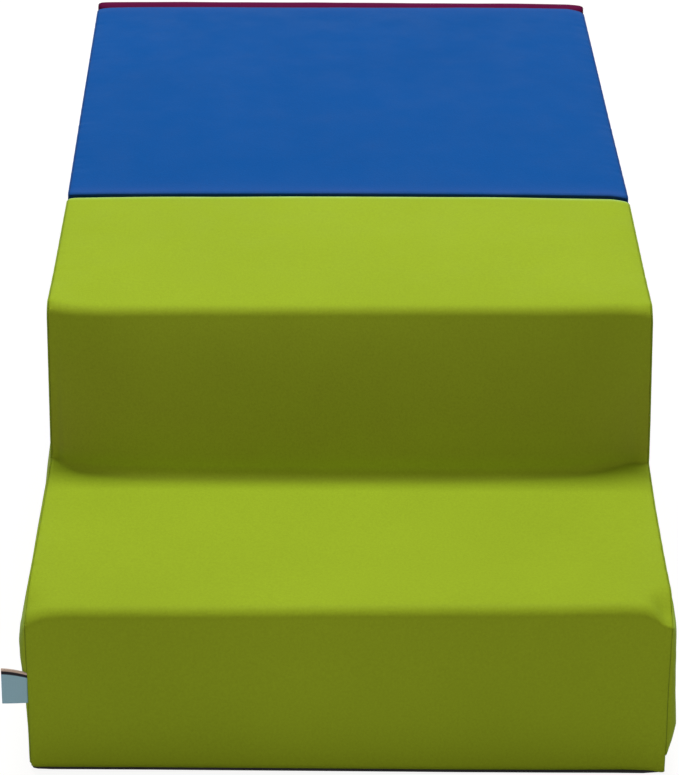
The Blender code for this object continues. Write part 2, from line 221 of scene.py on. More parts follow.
lower_nose = {
    "place": (nose_radius, lower_riser), "spread": 0.055,
    "across": mm(-306, -139, -7, 125, 200, 247, 275, 306),
    "rises": mm(-2, -1.7, 0.5, 1.9, 3, 4.6, 4.4, 4),
}
left_nose_corner = {
    "place": (nose_radius, lower_riser), "spread": 0.030,
    "across": mm(-306, -300, -294, -289.5, -280, -261, 306),
    "rises": mm(-10, -7, -4.7, -3, -0.9, 0, 0),
}
right_nose_corner = {
    "place": (nose_radius, lower_riser), "spread": 0.021,
    "across": mm(-306, 270, 278.5, 285.5, 290.5, 295, 300, 306),
    "rises": mm(0, 0, -1.4, -5.2, -10.8, -15, -16.8, -17.2),
}
upper_nose = {
    "place": (lower_tread + nose_radius, top), "spread": 0.055,
    "across": mm(-306, -298.5, -293.5, -284.5, -272, -250, -149, -8, 133, 213, 254, 274, 287, 306),
    "rises": mm(3.7, 3.4, 2.2, 0.9, -0.4, -1.2, 0, 0.9, 2.1, 2.6, 4, 4.2, 3, 3),
}
inner_corner = {
    "place": (lower_tread - 0.010, lower_riser + 0.004), "spread": 0.028,
    "across": mm(-306, -300.7, -297.7, -294.6, -290, -283, -270, 200, 247, 262, 272, 285, 289, 295,
                 306),
    "rises": mm(3.1, 2.9, 2.4, 2, 1.8, 1.2, 0, 0.4, 1.8, 3.8, 4, 2.6, 1.8, 0.8, 0.4),
}
plain = dict(settled=[], grime_runs=[0, 1], grime=[0, 0], tucked=None, toe_run=0, foot_sides=1)
steps = dict(
    plain,
    name="steps",
    y=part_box("steps_base")[0].y,
    corners=[(0, 0), (0, lower_riser), (lower_tread, lower_riser), (lower_tread, top),
             (steps_length, top), (steps_length, 0)],
    radii=[0, nose_radius, tuck_radius, nose_radius, back_radius, 0],
    seam_radii=[0, 0.016, 0, 0.014, 0.007, 0],
    crowns=[face_crown, 0, 0.0055, face_crown, 0, 0],
    settled=[lower_nose, left_nose_corner, right_nose_corner, upper_nose, inner_corner],
    rises={4: mm(0, -0.4, 2, 2, 1.8, 0)},
    bow_runs=mm(0, 40, 80, 135, 178, 240, 300, 400, 488, 530, 658, 958, 1100, 1300),
    left_bow=mm(0.8, 1.2, 1.6, 2.3, 2.4, 1.6, 0.8, 0, -1.1, -1.3, -1.7, -2, -0.8, 0),
    right_bow=mm(1, 0.8, 0, 0.2, 1.2, 1, 1.4, 2.4, 4.4, 3.6, 0, 1.2, 0.4, 0),
    # Painted highlight along the rear top edge, at this run.
    pale_run=0.9505,
    # Painted shade: the inner corner and the upper riser are darkened, by this table along the
    # outline.
    grime_runs=mm(478, 486, 500, 540, 640, 672),
    grime=[0, 0.08, 0.33, 0.33, 0.16, 0],
    tucked=2,
)
platform = dict(
    plain,
    name="platform",
    y=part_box("platform_base")[0].y,
    corners=[(0, 0), (0, top), (platform_length, top), (platform_length, 0)],
    radii=[0, joint_radius, 0.4 * back_radius, 0],
    seam_radii=[0, 0.005, 0.005, 0],
    crowns=[0, face_crown, 0, 0],
    rises={1: mm(0, -0.4, 2, 2, 1.8, 0), 2: mm(0, 0, 0.8, 2.2, 2.4, 0)},
    bow_runs=mm(0, 200, 348, 600, 968, 1100, 1300),
    left_bow=mm(0, -1, -2, 0.4, 3.4, 1.6, 0),
    right_bow=mm(0, 0.6, 1.2, -0.8, -2.8, -1.2, 0),
    # Painted highlight along the rear top edge, at this run.
    pale_run=0.9665,
)
slide = dict(
    plain,
    name="slide",
    y=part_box("slide_base")[0].y,
    corners=[(0, 0), (0, slide_peak), (slide_length, toe_height), (slide_length, 0)],
    radii=[0, nose_radius, back_radius, 0],
    seam_radii=[0, 0.006, back_radius, 0],
    crowns=[0, face_crown, 0, 0],
    rises={1: mm(0, 0, 0.4, 1, 1, 0)},
    bow_runs=mm(0, 350, 600, 1000),
    left_bow=mm(0, 3.4, 0, 0),
    right_bow=mm(0, -2.4, 0, 0),
    pale_run=None,
    toe_run=3,
)


def unit(vectors):
    """The same directions at length 1."""
    return vectors / np.linalg.norm(vectors, axis=-1, keepdims=True)


def seam_draw_at(distance):
    """How far the fabric stands in from its full outline, by its distance from the seam.

    Two exponentials: the near one is the seam's pull and the far one the slack of the foam. A
    bell-shaped groove is added where the needle ran.
    """
    pull = 0.55 * np.exp(-distance / 0.006) + 0.45 * np.exp(-distance / 0.045)
    return seam_draw * pull + groove_depth * np.exp(-((distance / groove_width) ** 2))


def outlines(block, draw, crown, tuck, pulled, foot, inside=0.0, foot_rise=None, toe_draw=None,
             across=None):
    """Side outlines of a block at stations across it, as an array of (station, point, yz).

    Each side moves inwards by the draw, and two neighbours meet at
    corner + (arriving * draw after - leaving * draw before) / turn. Every corner becomes an arc,
    whose radius goes over to the seam's as far as the outline is pulled. The tucked corner comes
    forward by the tuck. The middle of each side is lifted by crown * (1 - (2t - 1)^2). Given the
    stations' places across, the top corners rise and the front foot reaches out by their tables.
    It also returns how near each point is to a worn edge, from 0 to 1, its run along the sharp
    outline, and how many points lie under the block.
    """
    places = np.repeat(np.array(block["corners"], float)[None], len(draw), 0)
    places[:, [0, -1], 1] = foot
    if block["tucked"] is not None:
        places[:, block["tucked"], 0] -= tuck
    if across is not None:
        drop = np.where(across > 0, right_foot_drop, left_foot_drop)
        from_seam = half_width - np.abs(across)
        places[:, 0, 1] -= drop * np.exp(-((from_seam / foot_drop_width) ** 2))
        if block["name"] == "steps":
            places[:, 0, 0] -= np.interp(across, foot_places, foot_reaches)
            places[:, 0, 1] += np.interp(across, foot_places, foot_lifts)
        for index, rises in block["rises"].items():
            places[:, index, 1] += np.interp(across, rise_places, rises)
    leaving = unit(np.roll(places, -1, 1) - places)
    arriving = np.roll(leaving, 1, 1)
    turn = arriving[..., 0] * leaving[..., 1] - arriving[..., 1] * leaving[..., 0]
    after = np.repeat((draw + inside)[:, None], places.shape[1], 1)
    after[:, -block["foot_sides"]:] = 0 if foot_rise is None else foot_rise[:, None]
    if toe_draw is not None:
        after[:, -block["foot_sides"] - 1] += toe_draw
    before = np.roll(after, 1, 1)
    corners = places + (arriving * after[..., None] - leaving * before[..., None]) / turn[..., None]

    angle = np.arctan2(turn, (arriving * leaving).sum(2))
    spans, edges = [], []
    for index, radius in enumerate(block["radii"]):
        here = corners[:, index]
        if not radius:
            spans.append(here[:, None])
            edges.append([sharp_wear])
            continue
        if index == block["tucked"]:
            opened = tuck / max(tuck_reaches)
            rounding = tuck_seam_radius + (radius - tuck_seam_radius) * opened + inside
        else:
            rounding = radius + (block["seam_radii"][index] - radius) * pulled - inside
        bend = angle[:, index]
        start = here - arriving[:, index] * (rounding * np.tan(np.abs(bend) / 2))[:, None]
        side = np.stack([-arriving[:, index, 1], arriving[:, index, 0]], 1)
        spoke = side * (np.sign(bend) * rounding)[:, None]
        turned = bend[:, None] * np.linspace(0, 1, arc_steps)[None]
        cosine, sine = np.cos(turned), np.sin(turned)
        forward = -spoke[:, None, 0] * cosine + spoke[:, None, 1] * sine
        up = -spoke[:, None, 0] * sine - spoke[:, None, 1] * cosine
        spans.append((start + spoke)[:, None] + np.stack([forward, up], 2))
        edges.append([float(index != block["tucked"])] * arc_steps)

    sharp = np.array(block["corners"], float)
    side_lengths = np.linalg.norm(np.roll(sharp, -1, 0) - sharp, axis=1)
    reached = sharp[0, 1] + np.concatenate([[0], np.cumsum(side_lengths)])
    points, nearness, run = [], [], []
    for index, span in enumerate(spans):
        following = (index + 1) % len(spans)
        ahead = (sharp[following] - sharp[index]) / side_lengths[index]
        behind = (sharp[index] - sharp[index - 1]) / side_lengths[index - 1]
        share = np.linspace(0, 1, span.shape[1])
        away = span[0] - sharp[index]
        round_corner = (1 - share) * (away @ behind) + share * (away @ ahead)
        side = spans[following][:, 0] - span[:, -1]
        length = np.linalg.norm(side[0])
        share = np.linspace(0, 1, max(3, round(length / run_step)) + 1)[1:-1]
        outwards = unit(np.stack([-side[:, 1], side[:, 0]], 1))
        lift = block["crowns"][index] * crown[:, None] * (1 - (2 * share - 1) ** 2)[None]
        line = span[:, -1:] + side[:, None] * share[None, :, None]
        points += [span, line + outwards[:, None] * lift[..., None]]
        here, there = edges[index][-1], edges[following][0]
        fade = here * np.exp(-share * length / wear_fade)
        fade += there * np.exp(-(1 - share) * length / wear_fade)
        nearness += [*edges[index], *np.minimum(fade, 1)]
        run += [*(reached[index] + round_corner)]
        run += [*(reached[index] + (line[0] - sharp[index]) @ ahead)]
    return np.concatenate(points, 1), np.array(nearness), np.array(run), len(share)


def seam_at(block, side, run):
    """How far out a seam lies: 303 mm, and a little more or less where the foam pushes it."""
    bow = block["left_bow"] if side < 0 else block["right_bow"]
    return half_width + np.interp(run, block["bow_runs"], bow)


def settle(block, across, outline):
    """Lifts or lowers an outline round the edges where the foam has settled or the cover pulls.

    Each such place adds rise(across) * exp(-(distance / spread)^2) to the height.
    """
    lifted = outline.copy()
    for spot in block["settled"]:
        apart = ((outline - np.array(spot["place"])) ** 2).sum(-1) / spot["spread"] ** 2
        lifted[..., 1] += np.interp(across, spot["across"], spot["rises"]) * np.exp(-apart)
    return lifted


def needle_pucker(run, seed):
    """Small rises and falls along a seam: a sum of sines 12 to 34 mm long, of about 1 at most."""
    chance = np.random.default_rng(seed)
    waves = 0.012 + 0.022 * chance.random(7)
    starts = chance.random(7) * math.tau
    sizes = 0.4 + 0.6 * chance.random(7)
    total = (np.sin(run[..., None] / waves * math.tau + starts) * sizes).sum(-1)
    return total / sizes.sum() * 1.8


def slack(along, across, seed):
    """Broad, faint waves of a tight cover: sines in eight directions, 60 to 240 mm long."""
    chance = np.random.default_rng(seed)
    angles = chance.random(8) * math.pi
    waves = 0.06 + 0.18 * chance.random(8)
    starts = chance.random(8) * math.tau
    phase = along[..., None] * np.cos(angles) + across[..., None] * np.sin(angles)
    return np.sin(phase / waves * math.tau + starts).mean(-1)


def pushed_out(lines, amount):
    """Moves every point of the outlines along the outline's own normal."""
    along = unit(np.gradient(lines, axis=1))
    return lines + np.stack([-along[..., 1], along[..., 0]], 2) * amount[..., None]


def grid_faces(rows, columns, around=False):
    """Quads of a grid whose rows run outwards to the right and whose columns run up."""
    row = np.arange(rows - 1)[:, None]
    column = np.arange(columns if around else columns - 1)[None]
    after = (column + 1) % columns
    quads = [row * columns + column, (row + 1) * columns + column,
             (row + 1) * columns + after, row * columns + after]
    return np.stack([q.ravel() for q in np.broadcast_arrays(*quads)], 1)


def blank_finish(name):
    """A new material, its node tree and the object's own coordinates."""
    made = bpy.data.materials.new(name)
    made.use_nodes = True
    return made, made.node_tree, node(made.node_tree, "TexCoord", "Object")


def texture(tree, kind, place, scale, **settings):
    """A noise, cell or wave pattern as one value."""
    output = "Distance" if kind == "Voronoi" else "Fac"
    return node(tree, "Tex" + kind, output, Vector=place, Scale=scale, **settings)


def mark(tree, label):
    """One of the values that a mesh keeps for each of its points."""
    return node(tree, "Attribute", "Fac", attribute_name=label)


def mix(tree, share, first, second):
    """A colour between two others, of which the first may be another node's output."""
    if isinstance(first, tuple):
        first = (*first, 1)
    return node(tree, "Mix", "Result", data_type="RGBA", Factor=share, A=first, B=(*second, 1))


def toned(tree, colour, level):
    """A colour made lighter or darker by a factor."""
    return node(tree, "VectorMath", 0, colour, operation="SCALE", Scale=level)


def complete(made, colour, rough, specular, relief, strength, depth, inverted=False, **others):
    """Feeds the material's shader, with a bump of this strength and depth for its relief."""
    tree = made.node_tree
    bump = {"Height": relief, "Strength": strength, "Distance": depth, "invert": inverted}
    others.update({
        "Base Color": colour, "Roughness": rough, "Specular IOR Level": specular,
        "Normal": node(tree, "Bump", 0, **bump),
    })
    for key, value in others.items():
        feed(tree, tree.nodes["Principled BSDF"].inputs[key], value)
    return made


def coated_fabric(name, colour, wear_and_highlight_colour, seed):
    """PVC-coated polyester: a fine pebble grain over the weave, slightly uneven colour, edges
    polished and a little paler. Painted shade darkens it along its seams, at its foot, in the
    platform's joint line and over the steps' inner corner and upper riser, and a painted highlight
    runs along the rear top edges of the steps and the platform."""
    made, tree, place = blank_finish(name)
    shift = (seed * 1.7, seed * 0.9, seed * 2.3)
    shifted = node(tree, "Mapping", 0, Vector=place, Location=shift)
    broad = texture(tree, "Noise", shifted, 5.0, Detail=3.0)
    fine = texture(tree, "Noise", shifted, 420.0, Detail=2.0)
    scuff = texture(tree, "Noise", shifted, 28.0, Detail=6.0)
    grain = texture(tree, "Voronoi", shifted, 900.0)
    weave = texture(tree, "Voronoi", shifted, 300.0)
    edge, seam, riser_shade_mark = mark(tree, "edge"), mark(tree, "seam"), mark(tree, "grime")
    noise_reach, cell_reach = (0.3, 0.7), (0.0, 0.9)

    level = combined(
        tree, "MULTIPLY",
        spread(tree, broad, 0.965, 1.035, *noise_reach),
        spread(tree, fine, 0.955, 1.045, *noise_reach),
        spread(tree, grain, 1.03, 0.94, *cell_reach),
        # Painted shade: the seam mark darkens the colour along the seams, at the foot and in the
        # platform's joint line.
        spread(tree, seam, 1.0, 0.08, 0.6, 4.0),
    )
    # Rubbed edges and the painted highlight on the rear top edges both mix towards the second
    # colour.
    wear = combined(
        tree, "MULTIPLY", spread(tree, edge, 0.0, 0.85), spread(tree, scuff, 0.5, 1.0, 0.36, 0.6)
    )
    # Painted shade: the steps' inner corner and upper riser are mixed towards a dark olive-brown.
    riser_shade_share = combined(tree, "MULTIPLY", riser_shade_mark, spread(tree, scuff, 0.9, 1.1, *noise_reach))
    riser_shaded_colour = mix(tree, riser_shade_share, mix(tree, wear, colour, wear_and_highlight_colour), (0.27, 0.22, 0.045))
    rough = combined(
        tree, "MULTIPLY",
        spread(tree, scuff, 0.44, 0.56, *noise_reach),
        spread(tree, edge, 1.0, 0.88),
        spread(tree, fine, 0.96, 1.04, *noise_reach),
    )
    heights = combined(
        tree, "ADD",
        spread(tree, grain, 1.0, 0.0, *cell_reach),
        spread(tree, weave, 0.25, 0.0, *cell_reach),
        spread(tree, fine, 0.0, 0.7, *noise_reach),
    )
    return complete(made, toned(tree, riser_shaded_colour, level), rough, 0.015, heights, 0.55, 0.00012)


# Each vinyl's second colour is that of its rubbed edges and of the painted highlight on the rear
# top edges.
vinyls = {
    "steps": coated_fabric("green vinyl", (0.339, 0.492, 0.0258), (0.520, 0.960, 0.380), 1),
    "platform": coated_fabric("blue vinyl", (0.0030, 0.0880, 0.361), (0.095, 0.130, 0.420), 2),
    "slide": coated_fabric("plum vinyl", (0.118, 0.004, 0.048), (0.180, 0.020, 0.090), 3),
}


def put_piece(name, points, faces, finish, body, slot=None, **marks):
    """Makes a mesh object of these points and faces, which rides on a body.

    The marks are kept with its points. The slot is not used.
    """
    mesh = bpy.data.meshes.new(name)
    mesh.from_pydata(np.asarray(points, float).reshape(-1, 3), [], faces)
    for label, values in marks.items():
        kept = mesh.attributes.new(label, "FLOAT", "POINT")
        kept.data.foreach_set("value", np.asarray(values, np.float32).ravel())
    mesh.shade_smooth()
    mesh.materials.append(finish)
    piece = placed(name, mesh)
    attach(piece, body)
    return piece


def thicken(piece, depth):
    """Gives a sheet its thickness, on the inside."""
    wall = piece.modifiers.new("thickness", "SOLIDIFY")
    wall.thickness = depth
    wall.offset = -1


distances = np.append(mm(0, 0.5, 1, 1.6, 2.4, 3.6, 5.2, 7.2, 9.2, 11.2, 13.5, 16, 19, 22, 26, 30,
                         40, 52, 68, 86, 106, 130, 156, 184, 212, 241, 270), half_width)
mirrored = np.concatenate([distances, distances[-2::-1]])
across = np.concatenate([distances - half_width, (half_width - distances)[-2::-1]])
crown_run, crown_power = 0.055, 0.9
pull_run = 0.011
still_end = 0.02
slack_run = 0.05
flange_lean = np.array([0.0004, 0.0001])
# Widths of the painted shade along the seams, at the foot and at the platform's joint.
seam_shade_run, foot_shade_run, foot_shade = 0.0016, 0.004, 0.6
joint_run, joint_fade, joint_line = 0.3465, 0.010, 0.0012
highlight_width = 0.0028


def long_strip(block, seed):
    """The strip as a surface of two parameters: across it from seam to seam, and along its outline.

    Its outlines widen from the seam to the middle: the draw fades by exponentials, the crown grows
    as 1 - exp(-(d / 55 mm)^0.9) and the tuck follows its table. Puckers fade from the seam as
    exp(-d / 9 mm). At each seam two more rows turn the fabric inwards.
    """
    name = block["name"]
    crown = 1 - np.exp(-((mirrored / crown_run) ** crown_power))
    tuck = np.interp(across, tuck_places, tuck_reaches)
    lines, nearness, run, base_points = outlines(
        block, seam_draw_at(mirrored), crown, tuck, np.exp(-mirrored / pull_run), cover_foot,
        across=across,
    )
    lines, nearness, run = lines[:, :-base_points], nearness[:-base_points], run[:-base_points]
    from_foot, to_foot = run - run[0], run[-1] - run
    still = np.minimum(np.minimum(from_foot, to_foot) / still_end, 1)
    pucker = pucker_height * np.exp(-mirrored / pucker_reach)[:, None]
    pucker = pucker * needle_pucker(run, seed)[None]
    waves = slack_height * (1 - np.exp(-mirrored / slack_run))[:, None] * slack(
        run[None] + 0 * across[:, None], across[:, None] + 0 * run[None], seed + 20
    )
    lines = settle(block, across[:, None], pushed_out(lines, (pucker + waves) * still[None]))
    turned, half_turned = (
        pushed_out(lines, np.full(lines.shape[:2], -seam_flange * share)) for share in flange_shares
    )
    lines = np.concatenate([turned[:1], half_turned[:1], lines, half_turned[-1:], turned[-1:]])
    tucked_in = np.concatenate([flange_lean, 0 * across, -flange_lean[::-1]])
    shares = np.concatenate([[-1, -1], across / half_width, [1, 1]])
    distance = np.concatenate([[0, 0], mirrored, [0, 0]])
    left, right = seam_at(block, -1, run)[None], seam_at(block, 1, run)[None]
    places = tucked_in[:, None] + (right - left) / 2 + shares[:, None] * (right + left) / 2
    points = np.stack([places, lines[..., 0] + block["y"], lines[..., 1]], 2)

    # Painted shade: darker within a few millimetres of each seam and of the foot.
    depth = np.exp(-distance / seam_shade_run)[:, None] + 0 * run[None]
    foot = np.exp(-from_foot / foot_shade_run) + np.exp(-to_foot / foot_shade_run)
    shade = np.maximum(depth, foot_shade * foot[None])
    # Painted shade: a dark band at the top of the platform's front face, fading downwards over
    # about 10 mm, where the joint with the steps lies in shade.
    if name == "platform":
        below = np.exp(-np.maximum(joint_run - run, 0) / joint_fade)
        line = 2 * (1 - np.tanh((run - joint_run) / joint_line))
        shade = np.maximum(shade, line * below[None])
    wear = nearness[None] * (1 - 0.5 * np.exp(-distance / 0.006))[:, None]
    wear *= 0 if name == "steps" else 0.25
    # Painted highlight: a pale line along the rear top edge.
    if block["pale_run"]:
        wear += np.exp(-(((run - block["pale_run"]) / highlight_width) ** 2))[None]
    # Painted shade on the steps' inner corner and upper riser, by the block's table.
    grime = np.interp(run, block["grime_runs"], block["grime"])[None] + 0 * depth
    piece = put_piece(
        f"{name}_cover_strip", points, grid_faces(*points.shape[:2]), vinyls[name], name,
        edge=wear, seam=shade, grime=grime,
    )
    thicken(piece, fabric)
    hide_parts(f"{name}_cover")


long_strip(steps, 1)
long_strip(platform, 2)
long_strip(slide, 3)


# Side panels
# A panel of the same fabric closes each side. It is cut a little larger than the foam's side and
# sewn to the strip from inside, so it swells out beyond the seam. On the right it ends 28 mm above
# the floor, over the zip, and its lower edge turns in.

side_swell, swell_run = 0.0018, 0.014
middle_swell = 0.0036
panel_gap = 0.00045
panel_place = 0.305
flap_dip, flap_run = 0.0135, 0.014
zip_top = 0.028
zip_end_height = 0.105
zip_ramp = 0.040
slide_zip_end = (slide_peak - zip_end_height) / math.tan(slide_slope)
fuller_heights = mm(0, 18, 28, 38, 50, 66, 80, 115, 135, 150, 165, 178, 190, 220, 260, 320, 340)
fuller_left = mm(0, 0, 0, 0, 0.6, 1.2, 1.8, 4.4, 5, 3.6, -0.4, -1.8, -1.8, -1.4, -1.4, -1.4, -1.4)
fuller_right = mm(0, 0, 1, 5.6, 8.2, 7.4, 6.6, 5, 4.2, 3, 1.2, -1, -1, 0, 0, -1, -1)
swell_shares = np.array([0, 0.0015, 0.006, 0.014, 0.03, 0.06, 0.11, 0.18, 0.28, 0.40, 0.55, 0.75,
                         1])
grid_step = 0.011
ripple_height, ripple_place, ripple_width = 0.0002, 0.001, 0.0008
bulge_run, bow_fade = 0.035, 0.05
wave_height, wave_start = 0.0006, 0.03
worn_share, worn_place, worn_width = 0.3, 0.0011, 0.0007

slide_right = dict(
    slide,
    corners=[(0, zip_top), (0, slide_peak), (slide_length, toe_height), (slide_length, cover_foot),
             (slide_zip_end + zip_ramp, cover_foot), (slide_zip_end, zip_top)],
    radii=[0, nose_radius, back_radius, 0, 0, 0],
    crowns=[0, face_crown, 0, 0, 0, 0],
    foot_sides=3,
)


def rim_distance(points, rim):
    """The distance from each point to a closed line: to the nearest point of each of its sides."""
    side = np.roll(rim, -1, 0) - rim
    long = np.maximum((side**2).sum(1), 1e-18)
    share = (((points[:, None] - rim[None]) * side[None]).sum(2) / long).clip(0, 1)
    nearest = rim[None] + side[None] * share[..., None]
    return np.sqrt(((points[:, None] - nearest) ** 2).sum(2).min(1))


def inner_points(rim):
    """Points of a triangular net inside a closed line, at least half a step away from it."""
    low, high = rim.min(0), rim.max(0)
    rows = np.arange(low[1], high[1], grid_step * 0.866)
    columns = np.arange(low[0], high[0], grid_step)
    y, z = np.meshgrid(columns, rows)
    y = y + (np.arange(len(rows))[:, None] % 2) * grid_step / 2
    net = np.stack([y.ravel(), z.ravel()], 1)
    after = np.roll(rim, -1, 0)
    crosses = (rim[None, :, 1] > net[:, None, 1]) != (after[None, :, 1] > net[:, None, 1])
    rise = np.where(np.abs(after[:, 1] - rim[:, 1]) < 1e-12, 1e-12, after[:, 1] - rim[:, 1])
    reach = rim[:, 0] + (net[:, 1:2] - rim[:, 1]) / rise * (after[:, 0] - rim[:, 0])
    inside = (crosses & (net[:, 0:1] < reach)).sum(1) % 2 == 1
    return net[inside & (rim_distance(net, rim) > grid_step * 0.55)]


def side_panel(block, side, foot, seed):
    """A panel: rings that follow the outline from the seam, and a net that fills the last ring.

    At a share s of the swell the ring lies s * 14 mm inside the outline and stands
    1.8 mm * sqrt(1 - (1 - s)^2) out from the seam. The middle is 3.6 mm fuller, and the steps'
    sides swell more around the lower step. On the right, the front end dips over the zip's end.
    """
    name = block["name"]
    depth = swell_shares * swell_run
    out = side_swell * np.sqrt(1 - (1 - swell_shares) ** 2)
    groove = groove_depth * np.exp(-((out / groove_width) ** 2))
    rise = np.concatenate([groove_depth + seam_flange * flange_shares, depth + groove])
    out = np.concatenate([[-0.0003, 0], out])
    none = np.zeros(len(rise))
    toe = block["toe_run"] * np.concatenate([[0, 0], swell_shares]) ** 2 * swell_run
    rings, nearness, run, base_points = outlines(
        block, seam_draw + rise, none, none, none + 1, foot, foot_rise=rise, toe_draw=toe
    )
    last = run[-base_points - 1]
    fade = np.exp(-np.maximum(out, 0) / 0.001)[:, None]
    away = np.clip(np.minimum(run, last - run) / 0.02, 0, 1)
    rings = pushed_out(rings, pucker_height * fade * (needle_pucker(run, seed) * away)[None])
    rings = settle(block, side * panel_place, rings)

    count, rim = rings.shape[1], rings[-1]
    filling = inner_points(rim)
    corners = [Vector(p) for p in (*rim, *filling)]
    sides = [(i, (i + 1) % count) for i in range(count)]
    flat, _, flat_faces, origins, _, _ = geometry.delaunay_2d_cdt(corners, sides, [], 1, 1e-7)
    source = np.array([o[0] if o else -1 for o in origins])
    assert (source >= 0).all() and len(flat) == len(corners)
    triangles = source[np.array([f for f in flat_faces if len(f) == 3])]

    ripple = ripple_height * needle_pucker(run, seed + 60)[None]
    ripple = ripple * np.exp(-((out - ripple_place) / ripple_width) ** 2)[:, None]
    fuller = [0.0] * len(fuller_heights)
    if name == "steps":
        fuller = fuller_left if side < 0 else fuller_right
    grown = (out.clip(0) / side_swell)[:, None] * np.interp(rings[..., 1], fuller_heights, fuller)
    seam_x = seam_at(block, side, run)
    stand = seam_x[None] + panel_gap + out[:, None] + grown + ripple * away
    ring_points = np.stack([stand, rings[..., 0] + block["y"], rings[..., 1]], 2).reshape(-1, 3)

    deep = rim_distance(filling, rim)
    waves = wave_height * np.minimum(deep / wave_start, 1)
    waves = waves * slack(filling[:, 0], filling[:, 1], seed + 40)
    bulge = middle_swell * (1 - np.exp(-deep / bulge_run)) + waves
    bulge += np.interp(filling[:, 1], fuller_heights, fuller)
    nearest = ((filling[:, None] - rim[None]) ** 2).sum(2).argmin(1)
    settled = half_width + (seam_x[nearest] - half_width) * np.exp(-deep / bow_fade)
    stand = settled + panel_gap + side_swell + bulge
    fill_points = np.stack([stand, filling[:, 0] + block["y"], filling[:, 1]], 1)
    points = np.concatenate([ring_points, fill_points])
    if side > 0:
        low_share = (1 - (points[:, 2] - foot) / (3 * flap_dip)).clip(0, 1)
        points[:, 2] -= flap_dip * low_share * np.exp(-(points[:, 1] - block["y"]) / flap_run)
    faces = [tuple(q) for q in grid_faces(len(rise), count, around=True)]
    faces += [tuple(t) for t in triangles + (len(rise) - 1) * count]
    if side < 0:
        points[:, 0] *= -1
        faces = [f[::-1] for f in faces]

    # Painted shade along the panel's seam.
    shade = np.exp(-np.maximum(out, 0) / 0.0004)[:, None] + 0 * run[None]
    worn = np.exp(-((out - worn_place) / worn_width) ** 2)[:, None]
    worn = worn_share * worn * (0.2 + 0.8 * nearness)[None]
    wear, seam = (np.concatenate([part.ravel(), 0 * deep]) for part in (worn, shade))
    word = "right" if side > 0 else "left"
    piece = put_piece(
        f"{name}_{word}_panel", points, faces, vinyls[name], name, edge=wear, seam=seam
    )
    thicken(piece, fabric)
    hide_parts(f"{name}_{word}_side")


for seed, left, right in ((1, steps, steps), (2, platform, platform), (3, slide, slide_right)):
    side_panel(left, -1, cover_foot, seed)
    side_panel(right, 1, zip_top, seed)


# Seam thread
# Each seam is closed with a lockstitch of bonded polyester in the cover's own colour. Where the
# strip and a panel part a little, its stitches show as a fine ladder down in the groove.

stitch_pitch, stitch_length = 0.0036, 0.0029
thread_radius = 0.00030
stitch_runs = np.array([0.0, 0.14, 0.5, 0.86, 1.0])
stitch_sizes = np.array([0.25, 0.85, 1.0, 0.85, 0.25])
stitch_dips = np.array([-0.9, -0.2, 0.15, -0.2, -0.9])
thread_margin = 0.003


def thread(name, colour):
    """Bonded filament thread: a fine twist across its run, with a soft sheen."""
    made, tree, place = blank_finish(name)
    way = {"bands_direction": "DIAGONAL", "Distortion": 1.5, "Detail": 1.0}
    twist = texture(tree, "Wave", place, 900.0, **way)
    shaded = toned(tree, colour, spread(tree, twist, 0.7, 1.15))
    return complete(made, shaded, 0.55, 0.25, twist, 0.6, 0.00006)


def tube_faces(rings, sides, tubes=1, flipped=False):
    """Quads and end caps of like tubes, whose rings turn left about their run, or else flipped."""
    caps = np.arange(sides) + np.array([[0], [(rings - 1) * sides]])
    caps[1] = caps[1, ::-1]
    offsets = np.arange(tubes)[:, None, None] * rings * sides
    flipped = np.broadcast_to(flipped, tubes)[:, None, None]
    faces = []
    for one in (grid_faces(rings, sides, around=True), caps):
        every = np.where(flipped, one[None, :, ::-1], one[None]) + offsets
        faces += [tuple(f) for f in every.reshape(-1, one.shape[1])]
    return faces


threads = {
    "steps": thread("green thread", (0.250, 0.360, 0.020)),
    "platform": thread("blue thread", (0.010, 0.060, 0.250)),
    "slide": thread("plum thread", (0.100, 0.010, 0.055)),
}


def put_stitches(name, body, line, outward, first, last):
    """Stitches along a line of 3-D points, whose outward directions are given.

    Every stitch is a short six-sided tube of five rings. Its rings are thick in the middle, thin at
    the ends and dip into the fabric there: centre = line(run) + outward * dip * radius.
    """
    gone = np.concatenate([[0], np.cumsum(np.linalg.norm(np.diff(line, axis=0), axis=1))])
    starts = np.arange(first, last - stitch_pitch, stitch_pitch)
    run = starts[:, None] + stitch_length * stitch_runs[None]
    centre = np.stack([np.interp(run, gone, line[:, k]) for k in range(3)], 2)
    up = unit(np.stack([np.interp(run, gone, outward[:, k]) for k in range(3)], 2))
    beside = np.cross(unit(np.gradient(centre, axis=1)), up)
    centre = centre + up * (stitch_dips * thread_radius)[None, :, None]
    angle = (np.arange(6) / 6 * math.tau)[:, None]
    ring = up[:, :, None] * np.sin(angle) + beside[:, :, None] * np.cos(angle)
    points = centre[:, :, None] + ring * (stitch_sizes * thread_radius)[None, :, None, None]
    put_piece(name, points, tube_faces(5, 6, len(starts)), threads[body], body)


